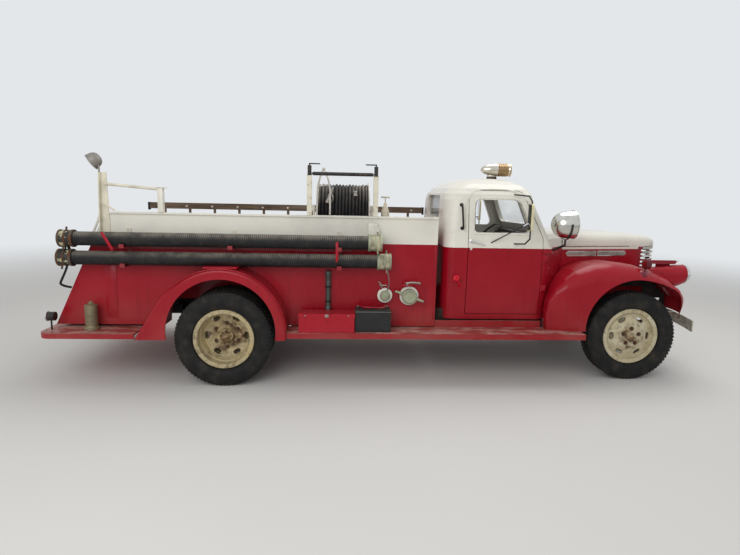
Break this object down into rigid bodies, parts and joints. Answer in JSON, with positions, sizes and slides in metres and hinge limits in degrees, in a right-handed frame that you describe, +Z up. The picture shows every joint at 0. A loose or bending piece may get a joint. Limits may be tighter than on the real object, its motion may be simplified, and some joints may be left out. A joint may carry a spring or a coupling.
{
  "type": "fire engine",
  "caption": "Closed-cab pumper fire engine with hose reel, suction hoses, ladder and roof siren on a two-axle truck chassis.",
  "frame": {"origin": "on the ground, midway along and across the engine", "axes": "+X forward, +Y to the engine's left, +Z up"},
  "size_m": [6.52, 2.19, 2.198],
  "materials": {
    "battery": "black case",
    "body_side_left": "deep red, faded",
    "body_side_right": "deep red, faded",
    "cab_back": "red below, cream above",
    "cab_cowl": "red below, cream above",
    "cab_floor": "black",
    "cab_glass": "clear",
    "cab_roof": "cream",
    "dashboard": "red",
    "door_left": "red below, cream above",
    "door_right": "red below, cream above",
    "engine": "plain block",
    "exhaust": "rusty",
    "extinguisher": "tarnished",
    "frame_rails": "black",
    "front_axle": "black",
    "front_bumper": "worn chrome",
    "front_fenders": "faded red",
    "front_tyre_left": "black",
    "front_tyre_right": "black",
    "front_wheel_left": "dirty cream",
    "front_wheel_right": "dirty cream",
    "grille": "red with bright bars",
    "headlights": "lens in a bright bezel",
    "hood": "cream above, red below",
    "hood_sides": "red",
    "hose_bed": "red",
    "hose_guide": "cream posts, black rollers",
    "ladder": "weathered",
    "lamps": "painted cans with glass",
    "leaf_springs": "black",
    "mirror_left": "cream back",
    "mirror_right": "cream back",
    "play_pipe": "worn chrome",
    "pump_fittings": "worn chrome",
    "radiator": "black core",
    "rear_axle": "black",
    "rear_fenders": "faded red",
    "rear_post": "worn steel",
    "rear_step": "faded red",
    "rear_tyres_left": "black",
    "rear_tyres_right": "black",
    "rear_wheels_left": "dirty cream",
    "rear_wheels_right": "dirty cream",
    "reel": "cream",
    "reel_hose": "dark rubber",
    "reel_stand": "cream",
    "running_boards": "faded red",
    "seat_cushions": "dark",
    "side_racks": "red",
    "siren": "worn chrome",
    "steering_knuckle_left": "black",
    "steering_knuckle_right": "black",
    "steering_wheel": "black",
    "suction_hoses": "black rubber",
    "tie_rod": "black",
    "toolbox": "red",
    "toolbox_lid": "red",
    "water_tank": "red"
  },
  "bodies": {
    "chassis": {"battery": "battery", "body_side_left": "body_side_left", "body_side_right": "body_side_right", "cab_back": "cab_back", "cab_cowl": "cab_cowl", "cab_floor": "cab_floor", "cab_glass": "cab_glass", "cab_roof": "cab_roof", "dashboard": "dashboard", "engine": "engine", "exhaust": "exhaust", "extinguisher": "extinguisher", "frame_rails": "frame_rails", "front_axle": "front_axle", "front_bumper": "front_bumper", "front_fenders": "front_fenders", "grille": "grille", "headlights": "headlights", "hood_sides": "hood_sides", "hose_bed": "hose_bed", "hose_guide": "hose_guide", "ladder": "ladder", "lamps": "lamps", "leaf_springs": "leaf_springs", "play_pipe": "play_pipe", "pump_fittings": "pump_fittings", "radiator": "radiator", "rear_axle": "rear_axle", "rear_fenders": "rear_fenders", "rear_post": "rear_post", "rear_step": "rear_step", "reel_stand": "reel_stand", "running_boards": "running_boards", "seat_cushions": "seat_cushions", "side_racks": "side_racks", "siren": "siren", "suction_hoses": "suction_hoses", "toolbox": "toolbox", "water_tank": "water_tank"},
    "knuckle_right": {"steering_knuckle_right": "steering_knuckle_right"},
    "knuckle_left": {"steering_knuckle_left": "steering_knuckle_left"},
    "tie_rod": {"tie_rod": "tie_rod"},
    "steering_wheel": {"steering_wheel": "steering_wheel"},
    "wheel_front_right": {"front_wheel_right": "front_wheel_right", "front_tyre_right": "front_tyre_right"},
    "wheel_front_left": {"front_wheel_left": "front_wheel_left", "front_tyre_left": "front_tyre_left"},
    "wheels_rear_right": {"rear_wheels_right": "rear_wheels_right", "rear_tyres_right": "rear_tyres_right"},
    "wheels_rear_left": {"rear_wheels_left": "rear_wheels_left", "rear_tyres_left": "rear_tyres_left"},
    "door_right": {"door_right": "door_right", "mirror_right": "mirror_right"},
    "door_left": {"door_left": "door_left", "mirror_left": "mirror_left"},
    "hood": {"hood": "hood"},
    "toolbox_lid": {"toolbox_lid": "toolbox_lid"},
    "reel": {"reel": "reel", "reel_hose": "reel_hose"}
  },
  "joints": [
    {"name": "steer_left", "type": "hinge", "parent": "chassis", "child": "knuckle_left", "pos_m": [2.494, 0.69, 0.455], "axis": [0, 0, 1], "range_deg": [-30, 30]},
    {"name": "steer_right", "type": "hinge", "parent": "chassis", "child": "knuckle_right", "pos_m": [2.494, -0.69, 0.455], "axis": [0, 0, 1], "range_deg": [-30, 30]},
    {"name": "tie_rod_joint", "type": "hinge", "parent": "knuckle_left", "child": "tie_rod", "pos_m": [2.314, 0.69, 0.372], "axis": [0, 0, 1], "range_deg": [-30, 30]},
    {"name": "steering_wheel_spin", "type": "hinge", "parent": "chassis", "child": "steering_wheel", "pos_m": [1.27, 0.38, 1.345], "axis": [-0.748, 0, 0.6637], "range_deg": [-480, 480]},
    {"name": "front_wheel_right_spin", "type": "hinge", "parent": "knuckle_right", "child": "wheel_front_right", "pos_m": [2.494, -0.778, 0.455], "axis": [0, 1, 0], "continuous": true},
    {"name": "front_wheel_left_spin", "type": "hinge", "parent": "knuckle_left", "child": "wheel_front_left", "pos_m": [2.494, 0.778, 0.455], "axis": [0, 1, 0], "continuous": true},
    {"name": "rear_wheels_right_spin", "type": "hinge", "parent": "chassis", "child": "wheels_rear_right", "pos_m": [-1.57, -0.8525, 0.455], "axis": [0, 1, 0], "continuous": true},
    {"name": "rear_wheels_left_spin", "type": "hinge", "parent": "chassis", "child": "wheels_rear_left", "pos_m": [-1.57, 0.8525, 0.455], "axis": [0, 1, 0], "continuous": true},
    {"name": "door_right_hinge", "type": "hinge", "parent": "chassis", "child": "door_right", "pos_m": [1.552, -0.787, 1.125], "axis": [0, 0, 1], "range_deg": [0, 60]},
    {"name": "door_left_hinge", "type": "hinge", "parent": "chassis", "child": "door_left", "pos_m": [1.552, 0.787, 1.125], "axis": [0, 0, -1], "range_deg": [0, 60]},
    {"name": "hood_hinge", "type": "hinge", "parent": "chassis", "child": "hood", "pos_m": [1.87, 0, 1.486], "axis": [0, -1, 0], "range_deg": [0, 50]},
    {"name": "toolbox_lid_hinge", "type": "hinge", "parent": "chassis", "child": "toolbox_lid", "pos_m": [-0.602, -0.8737, 0.705], "axis": [-1, 0, 0], "range_deg": [0, 85]},
    {"name": "reel_spin", "type": "hinge", "parent": "chassis", "child": "reel", "pos_m": [-0.457, -0.25, 1.66], "axis": [1, 0, 0], "continuous": true}
  ],
  "couplings": [
    {"joint": "steer_right", "follows": "steer_left", "ratio": 1},
    {"joint": "tie_rod_joint", "follows": "steer_left", "ratio": -1},
    {"joint": "steering_wheel_spin", "follows": "steer_left", "ratio": 16}
  ]
}
